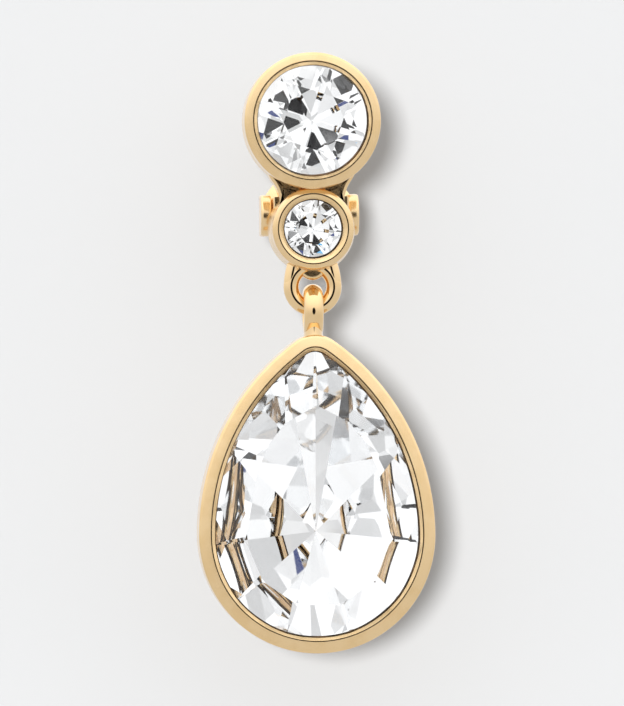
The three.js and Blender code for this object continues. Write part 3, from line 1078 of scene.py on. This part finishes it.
def lobe(centre: tuple[float, float], radius: float, far: float) -> Outline:
    """An outline with a round end about a centre and straight sides to a far edge.

    Args:
        centre: y and z of the round end's centre.
        radius: its radius.
        far: y of the straight end.

    Returns:
        The outline, anticlockwise in y and z.
    """
    away = math.copysign(1.0, centre[0] - far)
    t = np.linspace(-np.pi / 2, np.pi / 2, 40)
    arc = np.stack([centre[0] + away * radius * np.cos(t), centre[1] + radius * np.sin(t)], 1)
    square = np.array([[far, centre[1] + radius], [far, centre[1] - radius]])
    points = np.vstack([arc, square])
    if away < 0:
        points = points[::-1]
    return Outline.through(points, ((centre[0] + far) / 2, centre[1]))


def slab_profile(first: float, last: float, rounding: float) -> np.ndarray:
    """Profile of a slab: faces that shrink onto the outline's middle, and rounded edges.

    Args:
        first: depth of one face.
        last: depth of the other.
        rounding: setback of its edges.

    Returns:
        (m, 3) rows of inset, scale and depth.
    """
    corners = np.array([[rounding, first], [0.0, first], [0.0, last], [rounding, last]])
    line = eased(corners, np.array([0, rounding * 0.95, rounding * 0.95, 0]), 8)
    rows = np.column_stack([line[:, 0], np.ones(len(line)), line[:, 1]])
    return np.vstack([rows[0] * [1, 0.4, 1], rows, rows[-1] * [1, 0.4, 1]])


def plate(name: str, outline: Outline, inner: float, outer: float, rounding: float) -> bpy.types.Object:
    """A flat plate across x with rounded edges.

    Args:
        name: the piece's name.
        outline: its outline in y and z.
        inner: x of one face.
        outer: x of the other.
        rounding: setback of its edges.

    Returns:
        The new object.
    """
    return outline.solid(name, slab_profile(inner, outer, rounding), View.SIDE).build()


def tube(
    name: str,
    path: np.ndarray,
    section: np.ndarray,
    closed: bool,
    across: tuple[float, float, float] = (0.0, 1.0, 0.0),
) -> Surface:
    """A section carried along a flat path.

    At each path point the section's first coordinate runs along tangent x across, and its second
    along across, the direction square to the path's plane.

    Args:
        name: the piece's name.
        path: (n, 3) points.
        section: (m, 2) points, or (n, m, 2) where it changes along the path.
        closed: whether the path closes on itself.
        across: unit direction square to the path's plane.

    Returns:
        The surface.
    """
    if closed:
        run = np.roll(path, -1, axis=0) - np.roll(path, 1, axis=0)
    else:
        run = np.gradient(path, axis=0)
    run /= np.linalg.norm(run, axis=1)[:, None]
    aside = np.cross(run, across)
    section = np.broadcast_to(section, (len(path),) + section.shape[-2:])
    grid = path[:, None] + section[..., :1] * aside[:, None] + section[..., 1:] * np.asarray(across)
    return Surface(name, grid, path[[0, -1]], round_path=closed, round_profile=True)


@dataclass
class Clip:
    """The clip that closes behind the ear lobe: cheeks on the pin, a bent stem and an oval pad."""

    palette: Palette
    body: str = "clip"
    node: str = "clip_lever"
    hinge: tuple[float, float] = (1.35, -5.7)
    thick: float = 0.85
    pad_height: float = 0.55
    pad_half: tuple[float, float] = (2.9, 3.28)
    stem_half: float = 1.7
    root_half: float = 2.94

    def build(self) -> None:
        """Makes the clip's cheeks and its stamped plate."""
        cheek = lobe(self.hinge, 1.28, 2.95)
        pieces = [
            plate("left_clip_cheek", cheek, -2.36, -3.04, 0.2),
            plate("right_clip_cheek", cheek, 2.36, 3.04, 0.2),
            self._stamped_plate(),
        ]
        for piece in pieces:
            settle(piece, self.body, self.node, Finish.CLIP, self.palette.satin)

    def _stamped_plate(self) -> bpy.types.Object:
        """The stem and pad: a flat-sided section carried up the clip's bent centre line.

        Its half width is the root's, narrows to the stem's, and follows an ellipse round the pad.
        """
        pad_top = self.pad_height + self.pad_half[1]
        corners = np.array([[2.85, -6.6], [2.95, -5.2], [4.95, -2.6], [4.95, pad_top]])
        line = eased(corners, np.array([0, 0.6, 0.9, 0]), 14)
        length = running_length(line, closed=False)
        close = length[-1] - 1.2 * np.linspace(0.97, 0, 24) ** 2
        s = np.concatenate([np.linspace(0, length[-1] - 1.2, 60), close])
        y, z = (np.interp(s, length, line[:, k]) for k in range(2))
        path = np.stack([np.zeros(len(s)), y, z], 1)
        rise = (path[:, 2] - self.pad_height) / self.pad_half[1]
        pad = self.pad_half[0] * np.sqrt(np.clip(1 - rise**2, 0.0, 1.0))
        taper = np.clip((path[:, 2] + 5.3) / 2.3, 0, 1)
        stem = self.root_half + (self.stem_half - self.root_half) * taper**2 * (3 - 2 * taper)
        stem = np.where(path[:, 2] > self.pad_height, 0.0, stem)
        rounded = np.sqrt(1 - np.clip(1 - s / 0.7, 0, 1) ** 2)
        half = np.maximum(np.maximum(pad, stem) * (0.8 + 0.2 * rounded), 0.25)
        corner = np.minimum(0.22, half * 0.9)
        t = np.linspace(0, 2 * np.pi, 32, endpoint=False) + np.pi / 32
        cos_t, sin_t = np.cos(t)[None], np.sin(t)[None]
        across_x = np.sign(cos_t) * (half - corner)[:, None] + corner[:, None] * cos_t
        flat = np.sign(sin_t) * (self.thick / 2 - corner)[:, None] + corner[:, None] * sin_t
        section = np.stack([flat, across_x], -1)
        return tube("clip_plate", path, section, closed=False, across=(1.0, 0.0, 0.0)).build()


@dataclass
class PearDrop:
    """The swinging drop: pear cup, bail, and the pear-cut crystal."""

    palette: Palette
    shape: PearShape = field(default_factory=PearShape)
    body: str = "drop"
    node: str = "drop_setting"
    swing: float = -1.55
    loop_height: float = -11.66
    loop_radius: float = 1.195
    strap: tuple[float, float] = (0.475, 0.6)
    neck_bottom: float = -14.0

    def build(self) -> None:
        """Makes the cup, the bail and the crystal."""
        section = CupSection(face=-3.95, rear=0.5, crest=0.72, lip=1.02, wall=0.75, seat=-3.5, floor=0.15)
        section.tilt = 0.17
        cup = self.shape.outline().solid("pear_cup", section.profile(), View.FRONT).build()
        # painted shade in the pear rim's groove and past its lip's edge
        settle(cup, self.body, self.node, Finish.CASTING, self.palette.rim("pear_cup", section.painted_shade_bands()))
        # painted shade: a dark ring in the seam between the pear's lip and its crystal
        line = edge_line("pear_cup_edge_line", self.shape.outline(), section)
        settle(line, self.body, self.node, Finish.CASTING, self.palette.seam_shade)
        for piece in (self._bail(), self._neck()):
            settle(piece, self.body, self.node, Finish.CASTING, self.palette.polished)
        stone = PearCut(self.shape, name="pear_crystal_cut").build()
        settle(stone, self.body, "pear_crystal", Finish.CRYSTAL, *self.palette.stone)

    def _bail(self) -> bpy.types.Object:
        """The bail: an oval section carried round a circle about the ring's wire."""
        circle = disc(self.loop_radius, (self.swing, self.loop_height), 96).points
        path = np.column_stack([np.zeros(len(circle)), circle])
        section = disc(1.0, (0.0, 0.0), 48).points * np.array(self.strap)
        return tube("bail_loop", path, section, closed=True, across=(1.0, 0.0, 0.0)).build()

    def _neck(self) -> bpy.types.Object:
        """The neck that joins the bail to the cup's tip: ovals that spread as they go down."""
        z = np.linspace(-12.35, self.neck_bottom, 24)
        share = (z[0] - z) / (z[0] - z[-1])
        wide = self.strap[1] * (0.96 + 0.25 * share**3)
        deep = 1.36 + 0.3 * share**2
        t = np.linspace(0, 2 * np.pi, 48, endpoint=False)
        section = np.stack([wide[:, None] * np.cos(t), deep[:, None] * np.sin(t)], -1)
        path = np.stack([np.zeros(24), np.full(24, self.swing), z], 1)
        return tube("bail_neck", path, section, closed=False, across=(0.0, 1.0, 0.0)).build()


# ---- studio ----


@dataclass(frozen=True)
class Card:
    """A round card far off: angles in degrees right of and above the way the crystals face."""

    right: float
    above: float
    core: float
    edge: float
    tone: tuple[float, float, float, float]

    def direction(self) -> list[float]:
        """Unit vector towards the card."""
        turn, lift = math.radians(self.right), math.radians(self.above)
        return [math.sin(turn) * math.cos(lift), -math.cos(turn) * math.cos(lift), math.sin(lift)]


BLACK = (0.012, 0.011, 0.012, 1.0)
CYAN = (0.13, 0.55, 0.95, 1.0)
NAVY = (0.02, 0.045, 0.22, 1.0)
GREY = (0.4, 0.4, 0.41, 1.0)
METAL_CARDS = (Card(0.0, 0.0, 12.0, 17.0, BLACK),)
TAN = (0.72, 0.47, 0.25, 1.0)
CRYSTAL_CARDS = (
    Card(3.5, 5.0, 5.2, 6.0, BLACK),
    Card(-6.6, -8.6, 2.2, 2.8, NAVY),
    Card(1.4, -9.4, 1.5, 2.1, CYAN),
    Card(6.0, -16.0, 2.2, 2.9, BLACK),
    Card(14.5, 15.0, 2.0, 2.6, BLACK),
    Card(-11.5, 4.0, 1.8, 2.4, BLACK),
    Card(-9.2, -2.2, 1.4, 2.0, BLACK),
    Card(-31.0, 5.0, 2.2, 3.4, NAVY),
    Card(62.0, -6.0, 4.0, 5.5, BLACK),
    Card(-63.0, -7.0, 4.0, 5.5, BLACK),
    Card(23.0, -37.0, 2.5, 3.5, TAN),
    Card(-24.0, -47.0, 3.0, 4.5, BLACK),
    Card(-16.0, -59.0, 4.0, 6.0, TAN),
    Card(-9.2, 29.5, 2.5, 4.0, GREY),
    Card(-18.5, 38.0, 3.0, 4.5, GREY),
    Card(-23.0, 23.0, 2.0, 3.0, GREY),
)


@dataclass
class Studio:
    """Pale sweep of floor and wall, white surroundings, and the camera."""

    low: np.ndarray
    high: np.ndarray
    wall_gap: float = 0.0035
    floor_gap: float = 0.025
    azimuth: float = -3.0
    roll: float = 0.7
    lens: float = 400.0
    field_height: float = 0.0436
    patch: bpy.types.NodeTree = field(default_factory=soft_patch_group)

    def build(self) -> None:
        """Makes the sweep, the lights, the surroundings and the camera."""
        self._sweep()
        self._shadow_light()
        self._surroundings()
        self._camera()

    def _sweep(self) -> None:
        """Floor and wall in one sheet, seen only from its lit side."""
        floor = self.low[2] - self.floor_gap
        wall = self.high[1] + self.wall_gap
        corners = np.array([[-1.2, floor], [wall, floor], [wall, 1.2]])
        line = eased(corners, np.array([0, 0.03, 0]), 24)
        x = np.linspace(-1.2, 1.2, 2)
        points = np.array([[xx, y, z] for y, z in line for xx in x])
        k = np.arange(len(line) - 1) * 2
        mesh = bpy.data.meshes.new("pale_sweep")
        mesh.from_pydata(points.tolist(), [], np.stack([k, k + 1, k + 3, k + 2], 1).tolist())
        mesh.shade_smooth()
        sweep = bpy.data.objects.new("pale_sweep", mesh)
        bpy.context.scene.collection.objects.link(sweep)
        made = bpy.data.materials.new("pale_paper")
        made.use_nodes = True
        sketch = NodeSketch(made.node_tree)
        shader = made.node_tree.nodes["Principled BSDF"]
        shader.inputs["Base Color"].default_value = (0.409, 0.412, 0.416, 1.0)
        shader.inputs["Roughness"].default_value = 1.0
        shader.inputs["Specular IOR Level"].default_value = 0.0
        clear = sketch.add("ShaderNodeBsdfTransparent")
        side = sketch.add("ShaderNodeNewGeometry")
        path = sketch.add("ShaderNodeLightPath")
        seen = sketch.maths("MULTIPLY", side.outputs["Backfacing"], path.outputs["Is Camera Ray"])
        mixed = sketch.add("ShaderNodeMixShader")
        sketch.feed(mixed, 0, seen)
        sketch.feed(mixed, 1, shader.outputs[0])
        sketch.feed(mixed, 2, clear.outputs[0])
        sketch.feed(made.node_tree.nodes["Material Output"], "Surface", mixed.outputs[0])
        mesh.materials.append(made)
        sweep.visible_transmission = False
        sweep.visible_glossy = False
        sweep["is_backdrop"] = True

    def _shadow_light(self) -> None:
        """A soft lamp beside the camera that throws the shadow to the right on the wall."""
        lamp = bpy.data.lights.new("key", "SUN")
        lamp.energy = 4.0
        lamp.angle = math.radians(8)
        key = bpy.data.objects.new("key", lamp)
        key.rotation_euler = (math.radians(90 - 2.5), 0.0, math.radians(-8.5))
        key.visible_glossy = False
        key.visible_transmission = False
        bpy.context.scene.collection.objects.link(key)

    def _surroundings(self) -> None:
        """White studio all round, brighter above, with a dark place where the camera stands.

        Rays that leave a crystal see dark cards and coloured cards of their own.
        """
        world = bpy.data.worlds.new("white_studio")
        world.use_nodes = True
        bpy.context.scene.world = world
        sketch = NodeSketch(world.node_tree)
        aim = sketch.add("ShaderNodeTexCoord").outputs["Generated"]
        height = sketch.add("ShaderNodeSeparateXYZ", Vector=aim).outputs["Z"]
        level = sketch.ramp(height, -0.3, 0.9, 0.8, 1.6)
        metal_side = sketch.add("ShaderNodeCombineColor", Red=level, Green=level, Blue=level).outputs[0]
        metal_side = self._cards(sketch, aim, metal_side, METAL_CARDS)
        uneven = sketch.add("ShaderNodeTexNoise", Vector=aim, Scale=3.2, Detail=1.0).outputs["Fac"]
        brighter_above = sketch.ramp(height, -0.9, 0.9, 1.05, 1.25)
        even = sketch.maths("MULTIPLY", brighter_above, sketch.ramp(uneven, 0.36, 0.56, 0.62, 1.1))
        crystal_side = sketch.add("ShaderNodeCombineColor", Red=even, Green=even, Blue=even).outputs[0]
        crystal_side = self._cards(sketch, aim, crystal_side, CRYSTAL_CARDS)
        rays = sketch.add("ShaderNodeLightPath").outputs
        colour = sketch.blend(rays["Is Transmission Ray"], metal_side, crystal_side)
        colour = sketch.blend(rays["Is Camera Ray"], colour, (0.84, 0.84, 0.845, 1.0))
        sketch.feed(world.node_tree.nodes["Background"], "Color", colour)

    def _cards(
        self,
        sketch: NodeSketch,
        aim: bpy.types.NodeSocket,
        colour: bpy.types.NodeSocket,
        cards: tuple[Card, ...],
    ) -> bpy.types.NodeSocket:
        """Lays round cards over a sky colour.

        Args:
            sketch: the world's node tree.
            aim: the direction looked in.
            colour: the sky's colour.
            cards: the cards, in order.

        Returns:
            The colour with the cards on it.
        """
        for card in cards:
            patch = sketch.add("ShaderNodeGroup", {"node_tree": self.patch}, Direction=aim)
            sketch.feed(patch, "Centre", card.direction())
            sketch.feed(patch, "Edge", math.cos(math.radians(card.edge)))
            sketch.feed(patch, "Core", math.cos(math.radians(card.core)))
            colour = sketch.blend(patch.outputs["Mask"], colour, card.tone)
        return colour

    def _camera(self) -> None:
        """A long lens in front of the earring, a little to the left, as the photographer stood."""
        data = bpy.data.cameras.new("camera")
        data.lens = self.lens
        data.sensor_width = 36.0
        distance = self.field_height * self.lens / data.sensor_width
        data.clip_start, data.clip_end = 0.01, 10.0
        middle = (self.low + self.high) / 2
        turn = math.radians(self.azimuth)
        camera = bpy.data.objects.new("camera", data)
        camera.location = (
            middle[0] + distance * math.sin(turn),
            middle[1] - distance * math.cos(turn),
            middle[2],
        )
        camera.rotation_euler = (math.pi / 2, math.radians(self.roll), turn)
        bpy.context.scene.collection.objects.link(camera)
        bpy.context.scene.camera = camera


def main() -> None:
    """Builds the earring round its frame, then the studio."""
    logging.basicConfig(level=logging.INFO, format="%(name)s: %(message)s")
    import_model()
    cad_box = [list(corner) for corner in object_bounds()]
    palette = Palette()
    DoubleSetting(palette).build()
    Clip(palette).build()
    PearDrop(palette).build()
    low, high = (np.array(corner) for corner in cad_box)
    Studio(low, high).build()
    cycles = bpy.context.scene.cycles
    cycles.max_bounces, cycles.glossy_bounces, cycles.transmission_bounces = 24, 16, 16
    bpy.context.scene.view_settings.view_transform = "Standard"


if __name__ == "__main__":
    main()
